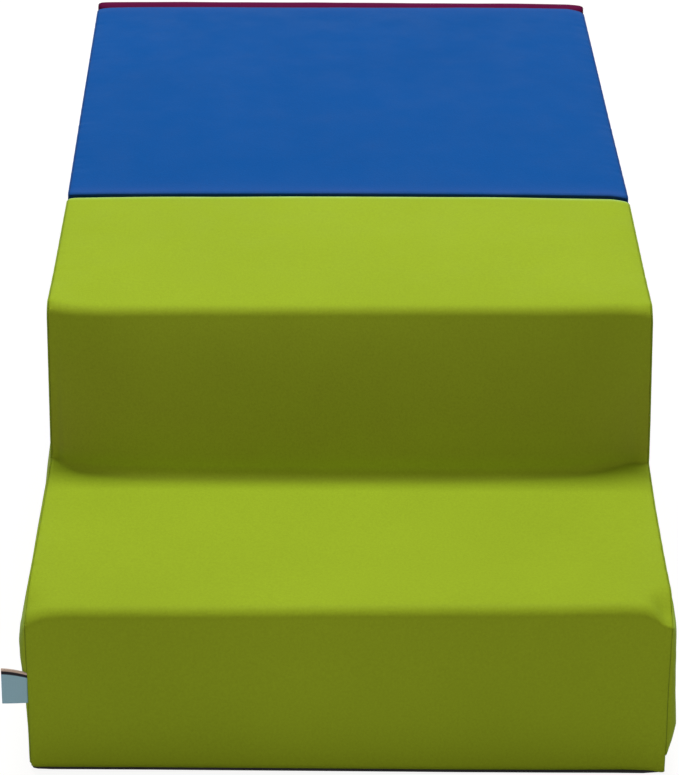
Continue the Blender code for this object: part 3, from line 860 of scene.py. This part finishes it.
for block in (steps, platform, slide):
    name = block["name"]
    valley = np.array([seam_draw + groove_depth - thread_radius * 0.6])
    none = np.zeros(1)
    line, _, run, base_points = outlines(block, valley, none, none, none + 1, cover_foot)
    flat_line, run = line[0, :-base_points], run[:-base_points]
    for side, word, shorter in ((-1, "left", 0), (1, "right", zip_top - cover_foot)):
        line = settle(block, side * panel_place, flat_line)
        ahead = np.gradient(line, axis=0)
        normal = np.stack([0 * run, -ahead[:, 1], ahead[:, 0]], 1)
        seam_x = side * (seam_at(block, side, run) + 0.0002)
        path = np.stack([seam_x, line[:, 0] + block["y"], line[:, 1]], 1)
        reach = float(np.linalg.norm(np.diff(path, axis=0), axis=1).sum())
        end = reach - (0 if name == "slide" else shorter) - thread_margin
        put_stitches(
            f"{name}_{word}_seam_thread", name, path, normal, shorter + thread_margin, end
        )


# Foam cores
# Firm polyurethane foam, cut with a hot wire: one block for the platform, one wedge for the slide
# and two glued blocks for the steps. Nothing holds them in but the tight cover.

foam_inside = 0.0042
foam_foot = 0.0030
glue_overlap = 0.0040
eased_places = mm(0, 1.5, 4, 9, 18, 35, 70, 140, 220)
eased_draws = mm(10.5, 8, 6, 4.2, 3, 1.8, 0.8, 0.2, 0)


def foam_finish():
    """Open-cell foam: pores of half a millimetre, cream, a little yellower where it has aged."""
    made, tree, place = blank_finish("cream foam")
    pores = texture(tree, "Voronoi", place, 1600.0)
    cells = texture(tree, "Noise", place, 60.0, Detail=4.0)
    cream = mix(tree, cells, (0.72, 0.62, 0.38), (0.80, 0.74, 0.54))
    shaded = toned(tree, cream, spread(tree, pores, 1.0, 0.6))
    return complete(made, shaded, 0.95, 0.05, pores, 0.8, 0.0003, inverted=True)


cream_foam = foam_finish()


def foam_block(name, block, core, foot=foam_foot, **shape):
    """A cut block: outlines across it, drawn in towards its two ends, which eases its edges."""
    shape = dict(block, **shape)
    shape.update(seam_radii=shape["radii"], tucked=None)
    half = half_width - foam_inside - 0.001
    places = np.concatenate([eased_places - half, [0], (half - eased_places)[::-1]])
    draw = np.concatenate([eased_draws, [0], eased_draws[::-1]])
    crown = np.clip(1 - np.abs(places) / half, 0, 1)
    lines = outlines(
        shape, draw, crown, 0 * draw, 0 * draw, foot, inside=foam_inside, foot_rise=0 * draw
    )[0]
    lines = settle(block, places[:, None], lines)
    points = np.stack(
        [places[:, None] + 0 * lines[..., 0], lines[..., 0] + block["y"], lines[..., 1]], 2
    )
    piece = put_piece(name, points, tube_faces(*lines.shape[:2]), cream_foam, block["name"], "foam")
    piece.data.set_sharp_from_angle(angle=math.radians(50))
    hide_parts(core)


foam_block(
    "steps_lower_foam", steps, "steps_lower_core", radii=[0, nose_radius, 0, 0], crowns=[0] * 4,
    corners=[(0, 0), (0, lower_riser), (steps_length, lower_riser), (steps_length, 0)],
)
foam_block(
    "steps_upper_foam", steps, "steps_upper_core", lower_riser - glue_overlap,
    radii=[0, nose_radius, back_radius, 0], crowns=[0, face_crown, 0, 0],
    corners=[(lower_tread, lower_riser), (lower_tread, top), (steps_length, top),
             (steps_length, lower_riser)],
)
foam_block("platform_foam", platform, "platform_core")
foam_block("slide_foam", slide, "slide_core")


# Non-slip bases
# A black sheet of rubbery PVC with moulded pips closes each block below. Its edge turns up about
# 5 mm and is sewn to the foot of the cover.

base_lip = 0.0051
sheet_height = 0.0012
sheet_thickness = 0.0010
pip_pitch, pip_radius, pip_margin = 0.013, 0.0022, 0.022
edge_steps = mm(0, 0.2, 0.5, 0.9, 1.4, 2.2, 6, 20, 50, 110, 200)
edge_heights = np.array([1.0, 0.72, 0.42, 0.2, 0.07, 0, 0, 0, 0, 0, 0]) * (base_lip - sheet_height)
front_reach = 0.2


def base_finish():
    """Matt black PVC with a fine cloth print and grey dust in it."""
    made, tree, place = blank_finish("black non-slip vinyl")
    cloth = texture(tree, "Voronoi", place, 700.0)
    dust = texture(tree, "Noise", place, 35.0, Detail=6.0)
    dusty = spread(tree, dust, 0.0, 0.35, 0.45, 0.75)
    colour = mix(tree, dusty, (0.010, 0.010, 0.011), (0.040, 0.038, 0.035))
    return complete(made, colour, spread(tree, dust, 0.6, 0.9), 0.2, cloth, 0.5, 0.00015)


black_base = base_finish()


def base_sheet(block):
    """The sheet as a height over the floor: 5 mm at its rim, falling to the flat within 2 mm.

    Its front and back follow the cover's draw across the block, and the steps' front follows the
    foot of their cover. The pips are low domes under it.
    """
    name, length = block["name"], block["corners"][-1][0]
    places = np.concatenate([edge_steps - half_width, [0], (half_width - edge_steps)[::-1]])
    from_side = np.minimum(places + half_width, half_width - places)
    groove = groove_depth * np.exp(-((from_side / groove_width) ** 2))
    draw = seam_draw_at(from_side) - groove + 0.0004
    shares = np.concatenate([edge_steps, [length / 2], length - edge_steps[::-1]])
    stretch = (length - 2 * draw)[:, None] / length
    y = block["y"] + draw[:, None] + shares[None] * stretch
    from_end = np.minimum(shares, length - shares)
    rim = np.maximum(
        np.interp(from_side, edge_steps, edge_heights)[:, None],
        np.interp(from_end, edge_steps, edge_heights)[None],
    )
    if name == "steps":
        front = (1 - shares / front_reach).clip(0, 1)[None]
        y = y - np.interp(places, foot_places, foot_reaches)[:, None] * front
        lifts = np.interp(places, foot_places, foot_lifts)[:, None]
        rim = rim * (1 + lifts * front / (base_lip - sheet_height))
    points = np.stack([places[:, None] + 0 * y, y, sheet_height + rim], 2)
    piece = put_piece(
        f"{name}_base_sheet", points, grid_faces(*y.shape)[:, ::-1], black_base, name, "base_vinyl"
    )
    thicken(piece, sheet_thickness)
    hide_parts(f"{name}_base")

    reach = np.arange(-half_width + 0.02, half_width - 0.02, pip_pitch)
    rows = np.arange(block["y"] + pip_margin, block["y"] + length - pip_margin, pip_pitch)
    middle = np.stack([g.ravel() for g in np.meshgrid(reach, rows)], 1)
    middle[:, 0] += (np.round(middle[:, 1] / pip_pitch) % 2) * pip_pitch / 4
    angle = np.arange(8) / 8 * math.tau
    ring = np.stack([np.cos(angle), np.sin(angle)], 1)
    radii = np.array([1.0, 0.82, 0.45]) * pip_radius
    heights = np.array([sheet_height + 0.0001, 0.0004, 0.00002])
    flat = middle[:, None, None] + ring[None, None] * radii[None, :, None, None]
    height = np.broadcast_to(heights[None, :, None, None], flat.shape[:3] + (1,))
    offsets = np.arange(len(middle))[:, None, None] * 24
    faces = []
    for one in (grid_faces(3, 8, around=True), np.arange(23, 15, -1)[None]):
        faces += [tuple(f) for f in (one[None] + offsets).reshape(-1, one.shape[1])]
    domes = np.concatenate([flat, height], 3)
    put_piece(f"{name}_base_pips", domes, faces, black_base, name, "base_vinyl")


for block in (steps, platform, slide):
    base_sheet(block)


# Zips
# A nylon coil zip runs along the foot of each right side, so the cover can come off. Its lower tape
# is sewn behind a narrow band of cover fabric and its upper tape behind the panel's lower edge.

chain_height = 0.022
band_top = 0.017
tape_foot = 0.010
tape_depth = 0.0008
tape_gap = 0.00015
zip_inset = 0.0062
lower_overrun, upper_overrun = 0.030, 0.0125
coil_pitch, coil_wire = 0.0018, 0.00034
coil_width, coil_depth = 0.00135, 0.00075
band_seam_drop = 0.0016


def tape_finish(name, dark, light, scale):
    """Woven polyester tape: fine ribs across a twill, with lint caught in them."""
    made, tree, place = blank_finish(name)
    ribs, twill = (
        texture(tree, "Wave", place, size, bands_direction=way, Distortion=0.4, Detail=1.0)
        for way, size in (("Y", scale), ("Z", scale * 0.7))
    )
    lint = texture(tree, "Noise", place, 260.0, Detail=4.0)
    weave = combined(tree, "MULTIPLY", ribs, twill)
    colour = mix(tree, combined(tree, "MULTIPLY", weave, lint), dark, light)
    return complete(made, colour, 0.8, 0.15, weave, 0.7, 0.00015)


zip_weave = tape_finish("zip tape", (0.012, 0.012, 0.014), (0.060, 0.060, 0.066), 420.0)
coil_nylon = tape_finish("zip coil", (0.020, 0.020, 0.022), (0.075, 0.075, 0.080), 900.0)


def flat_band(start, end, foot, crest, low_x, high_x, taper=0):
    """A flat band along Y with rounded edges: a sixteen-sided profile carried along its length.

    Its profile is x = cos^0.4, z = sin^0.25, each with its sign. With a taper its crest falls in a
    straight line over its last part, as the side panel does.
    """
    along = np.linspace(start, end, max(12, round((end - start) / 0.006)))
    squeeze = np.minimum(1, np.minimum(along - start, end - along) / 0.0008 + 0.35)
    crests = np.full(len(along), crest)
    if taper:
        crests = foot + (crest - foot) * np.clip((end - along) / taper, 0.08, 1)
    cosine, sine = (turn(np.arange(16) / 16 * math.tau) for turn in (np.cos, np.sin))
    deep, high = np.sign(cosine) * np.abs(cosine) ** 0.4, np.sign(sine) * np.abs(sine) ** 0.25
    x = (low_x + high_x) / 2 + (high_x - low_x) / 2 * deep[None] * squeeze[:, None]
    z = (crests + foot)[:, None] / 2 + (crests - foot)[:, None] / 2 * high[None]
    points = np.stack([x, np.broadcast_to(along[:, None], x.shape), z], 2)
    return points, tube_faces(len(along), 16)


def coil(name, start, end, towards, body):
    """A flattened helix along Y: x and z turn once in each pitch, and a round wire follows it."""
    turn = np.arange(round((end - start) / coil_pitch) * 8 + 1) / 8
    phase = turn * math.tau + (math.pi if towards > 0 else 0)
    x = half_width + coil_depth + 0.00002 + (coil_depth - coil_wire) * np.cos(phase)
    z = chain_height + towards * (coil_width - 0.00012) + (coil_width - coil_wire) * np.sin(phase)
    centre = np.stack([x, start + turn * coil_pitch, z], 1)
    ahead = unit(np.gradient(centre, axis=0))
    aside = unit(np.cross(ahead, np.array([0.0, 1.0, 0.0])))
    over = np.cross(aside, ahead)
    angle = (np.arange(5) / 5 * math.tau)[None, :, None]
    ring = aside[:, None] * np.cos(angle) + over[:, None] * np.sin(angle)
    points = centre[:, None] + ring * coil_wire
    put_piece(name, points, tube_faces(len(centre), 5), coil_nylon, body, "zip_tape")


def zip_along(block, end):
    """A block's zip. The slide's runs out under the panel's slope: its band tapers, and its tapes
    go on a little behind it."""
    name, start, last = block["name"], block["y"] + zip_inset, block["y"] + end
    band_end = lower_end = upper_end = last
    taper = 0.0
    if name == "slide":
        taper = zip_ramp * (band_top - cover_foot) / (zip_top - cover_foot)
        band_end = last + zip_ramp - fabric
        lower_end, upper_end = last + lower_overrun, last + upper_overrun
    band_x = (half_width + 0.0003, half_width + 0.0015)
    tape_x = (half_width - tape_depth, half_width)
    tape = (zip_weave, name, "zip_tape")
    for word, solid, reach, profile, kind, cut, neighbour in (
        ("zip_band_fabric", "zip_band", band_end, (cover_foot, band_top, *band_x, taper),
         (vinyls[name], name), 0.0125, "zip_tape_lower"),
        ("zip_tape_lower", "zip_lower_tape", lower_end,
         (tape_foot, chain_height - tape_gap, *tape_x), tape, 0.012, "zip_band_fabric"),
        ("zip_tape_upper", "zip_upper_tape", upper_end,
         (chain_height + tape_gap, zip_top + fabric, *tape_x), tape, 0.010, "right_panel"),
    ):
        piece = put_piece(f"{name}_{word}", *flat_band(start, reach, *profile), *kind)
        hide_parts(f"{name}_{solid}")
    coil(f"{name}_zip_coil_lower", start + 0.001, last - 0.001, -1, name)
    coil(f"{name}_zip_coil_upper", start + 0.001, last - 0.001, 1, name)
    seam_x, seam_z = band_x[1] + 0.00005, band_top - band_seam_drop
    path = np.array([[seam_x, start, seam_z], [seam_x, last, seam_z]])
    outward = np.array([[1.0, 0, 0], [1.0, 0, 0]])
    put_stitches(
        f"{name}_zip_band_thread", name, path, outward, thread_margin, last - start - thread_margin
    )


zip_along(steps, steps_length - zip_inset)
zip_along(platform, platform_length - zip_inset)
zip_along(slide, slide_zip_end)


# Zip sliders and pulls
# Zinc castings: a slider that clasps the coil, with a bail over it, and a flat tab with a pin that
# turns under the bail.

def cast_zinc():
    """Tumbled zinc: brighter and rougher in some patches, darker and smoother in others, with fine
    scratches.
    """
    made, tree, place = blank_finish("cast zinc")
    cloud = texture(tree, "Noise", place, 700.0, Detail=5.0)
    long = node(tree, "Mapping", 0, Vector=place, Scale=(1.0, 0.12, 1.0))
    scratch = texture(tree, "Noise", long, 5000.0, Detail=3.0)
    colour = mix(tree, cloud, (0.40, 0.41, 0.43), (0.66, 0.67, 0.69))
    rough = spread(tree, cloud, 0.22, 0.48)
    return complete(made, colour, rough, 0.5, scratch, 0.25, 0.00005, Metallic=1.0)


zinc = cast_zinc()
for block in ("steps", "platform", "slide"):
    for word in ("slider", "pull"):
        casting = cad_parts[f"{block}_zip_{word}"]
        casting.data.materials.clear()
        casting.data.materials.append(zinc)


# Hook and loop strips
# Two upright strips, 50 mm wide, are sewn to each face that meets the next block: loops on the back
# of the one in front and hooks on the front of the one behind.

strip_width, strip_height = 0.050, 0.240
strip_foot = 0.050
strip_offset = 0.170
strip_gap = 0.0003
strip_seam = 0.0016
backing = 0.0005
pile_top = 0.0014
pile_unevenness = 0.35
hook_pitch, hook_margin = 0.0030, 0.005
hook_wire = 0.00014
hook_bend = np.array([[0, backing - 0.0001], [0.00005, 0.00085], [0.00030, 0.00128],
                      [0.00075, 0.00122], [0.00090, 0.00092]])


def pile_finish(name, dark, light, rough):
    """Knitted nylon pile: a tangle of fine filaments, paler at their tips."""
    made, tree, place = blank_finish(name)
    tangle = texture(tree, "Noise", place, 1500.0, Detail=5.0, Distortion=1.5)
    both = combined(tree, "ADD", tangle, texture(tree, "Voronoi", place, 650.0))
    colour = mix(tree, spread(tree, both, 0.0, 1.0, 0.5, 1.3), dark, light)
    return complete(made, colour, rough, 0.15, both, 0.9, 0.0004, **{"Sheen Weight": 0.25})


finishes = {
    "loop": pile_finish("loop pile", (0.012, 0.012, 0.014), (0.060, 0.060, 0.064), 0.95),
    "hook": pile_finish("hook tape", (0.016, 0.016, 0.018), (0.085, 0.085, 0.090), 0.7),
}


def strip_rows(length, step):
    """Places along one side of a strip: close together at its selvedges, then a step apart."""
    edge = np.array([0, 0.0002, 0.0008, 0.002, 0.0026])
    return np.concatenate([edge, np.arange(0.004, length - 0.0035, step), length - edge[::-1]])


def strip_surface(middle, face, towards, top_height):
    """A sheet of height over the face: a flat selvedge, then a rise to the pile inside it.

    The pile's height is top * (1 - 0.35 * chance) and the rim falls to the face over its last row.
    """
    columns, rows = strip_rows(strip_width, 0.0015), strip_rows(strip_height, 0.0020)
    u, v = np.meshgrid(columns, rows, indexing="ij")
    rim = np.minimum(np.minimum(u, strip_width - u), np.minimum(v, strip_height - v))
    chance = np.random.default_rng(round(abs(middle) * 1000) + round(abs(face) * 1000))
    height = np.interp(rim, [0, 0.0002, 0.0008], [0, 0.7, 1.0]) * backing
    inner = np.clip((rim - 0.0026) / 0.0012, 0, 1)
    height += inner * (top_height - backing) * (1 - pile_unevenness * chance.random(u.shape))
    x = middle - strip_width / 2 + u
    return np.stack([x, face + towards * (strip_gap + height), strip_foot + v], 2)


def hooks_over(middle, face, towards):
    """Rows of small hooks: a bent four-sided wire of five rings, up from the tape and over."""
    columns = np.arange(-strip_width / 2 + hook_margin, strip_width / 2 - 0.0045, hook_pitch)
    rows = np.arange(hook_margin, strip_height - 0.0045, hook_pitch)
    u, v = [g.ravel()[:, None, None] for g in np.meshgrid(columns, rows)]
    lean = np.where(np.round(v / hook_pitch) % 2 == 0, 1.0, -1.0)
    angle = np.arange(4) / 4 * math.tau + math.pi / 4
    ahead = unit(np.gradient(hook_bend, axis=0))
    beside = np.stack([-ahead[:, 1], ahead[:, 0]], 1)
    along_v = hook_bend[:, 0:1] + beside[:, 0:1] * np.cos(angle) * hook_wire
    out = hook_bend[:, 1:2] + beside[:, 1:2] * np.cos(angle) * hook_wire
    aside = np.sin(angle)[None] * hook_wire + 0 * out
    x = middle + u + aside[None]
    y = face + towards * (strip_gap + out[None] + 0 * x)
    z = strip_foot + v + lean * along_v[None]
    return np.stack([x, y, z], 3), tube_faces(5, 4, len(u), (lean * towards < 0).ravel())


def join_strip(block, kind, face, towards):
    """Two strips of hooks or loops on one face, with the stitches round their edges."""
    name = block["name"]
    for word, side in (("left", -1), ("right", 1)):
        middle = side * strip_offset
        points = strip_surface(middle, face, towards, pile_top if kind == "loop" else backing)
        faces = grid_faces(*points.shape[:2])
        if towards > 0:
            faces = faces[:, ::-1]
        piece = put_piece(
            f"{name}_{kind}_tape_{word}", points, faces, finishes[kind], name, f"{kind}_pile"
        )
        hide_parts(f"{name}_{kind}_strip_{word}")
        if kind == "hook":
            hooks = hooks_over(middle, face, towards)
            put_piece(f"{name}_hooks_{word}", *hooks, finishes[kind], name, "hook_pile")
        wide, high = strip_width / 2 - strip_seam, strip_height - 2 * strip_seam
        low = strip_foot + strip_seam
        x = middle + wide * np.array([-1, 1, 1, -1, -1])
        z = low + high * np.array([0, 0, 1, 1, 0])
        path = np.stack([x, np.full(5, face + towards * (strip_gap + backing + 0.0001)), z], 1)
        outward = np.tile([0.0, float(towards), 0.0], (5, 1))
        put_stitches(
            f"{name}_{kind}_tape_thread_{word}", name, path, outward, 0.0, 4 * wide + 2 * high
        )


join_strip(steps, "loop", steps["y"] + steps_length, 1)
join_strip(platform, "hook", platform["y"], -1)
join_strip(platform, "loop", platform["y"] + platform_length, 1)
join_strip(slide, "hook", slide["y"], -1)


# Label
# A woven loop, folded at its outer end, with both ends caught in the left front seam of the steps.
# It is bare.

label_low, label_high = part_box("steps_label")
label_reach = 0.0265
label_root = 0.0018
label_bow = 0.0009
label_droop = 0.0008
label_pinch = 0.0055
label_thickness = 0.0004
fold_radius = 0.0006


def label_finish():
    """Satin damask ribbon: fine ribs along it, and a black and a tan stripe at its upper edge."""
    made, tree, place = blank_finish("woven label")
    ribs, picks = (
        texture(tree, "Wave", place, size, bands_direction=way, Distortion=0.5, Detail=1.0)
        for way, size in (("Z", 700.0), ("X", 520.0))
    )
    weave = combined(tree, "MULTIPLY", ribs, picks)
    height = mark(tree, "edge")
    ground = mix(tree, weave, (0.33, 0.62, 0.82), (0.44, 0.75, 0.95))
    striped = mix(tree, spread(tree, height, 0.0, 1.0, 0.830, 0.850), ground, (0.004, 0.003, 0.008))
    edged = mix(tree, spread(tree, height, 0.0, 1.0, 0.925, 0.940), striped, (0.80, 0.68, 0.62))
    return complete(made, edged, 0.6, 0.2, weave, 0.6, 0.00012)


def folded_label():
    """A ribbon whose path runs out along the front, round a tight fold and back, carried up in Z.

    It bows forward by bow * sin(0.9 pi * out) * (0.6 + 0.4 cos(pi * (up - 0.3))), its free end
    droops by its reach squared, and its sewn end is pinched in height.
    """
    root = -half_width - label_root
    middle = (label_low.y + label_high.y) / 2
    straight = np.linspace(root, -half_width - label_reach + fold_radius, 16)
    turned = np.linspace(0, math.pi, 9)[1:-1]
    fold_x, fold_y = straight[-1] - fold_radius * np.sin(turned), -fold_radius * np.cos(turned)
    path_x = np.concatenate([straight, fold_x, straight[::-1]])
    path_y = np.concatenate([0 * straight - fold_radius, fold_y, 0 * straight + fold_radius])
    out = (root - path_x) / (label_reach - label_root)
    up = np.linspace(0, 1, 15)
    swing = 0.6 + 0.4 * np.cos(np.pi * (up - 0.3))
    bow = label_bow * np.sin(np.pi * out * 0.9)[:, None] * swing[None]
    x = path_x[:, None] + 0 * bow
    y = middle + path_y[:, None] - bow
    droop = -label_droop * out**2
    pinch = label_pinch * (1 - out.clip(0, 1)) ** 1.6
    z = label_low.z + (label_high.z - label_low.z - pinch)[:, None] * up[None] + droop[:, None]
    piece = put_piece(
        "steps_label_loop", np.stack([x, y, z], 2), grid_faces(*x.shape)[:, ::-1], label_finish(),
        "steps", "label", edge=up[None] + 0 * x,
    )
    thicken(piece, label_thickness)
    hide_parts("steps_label")


folded_label()
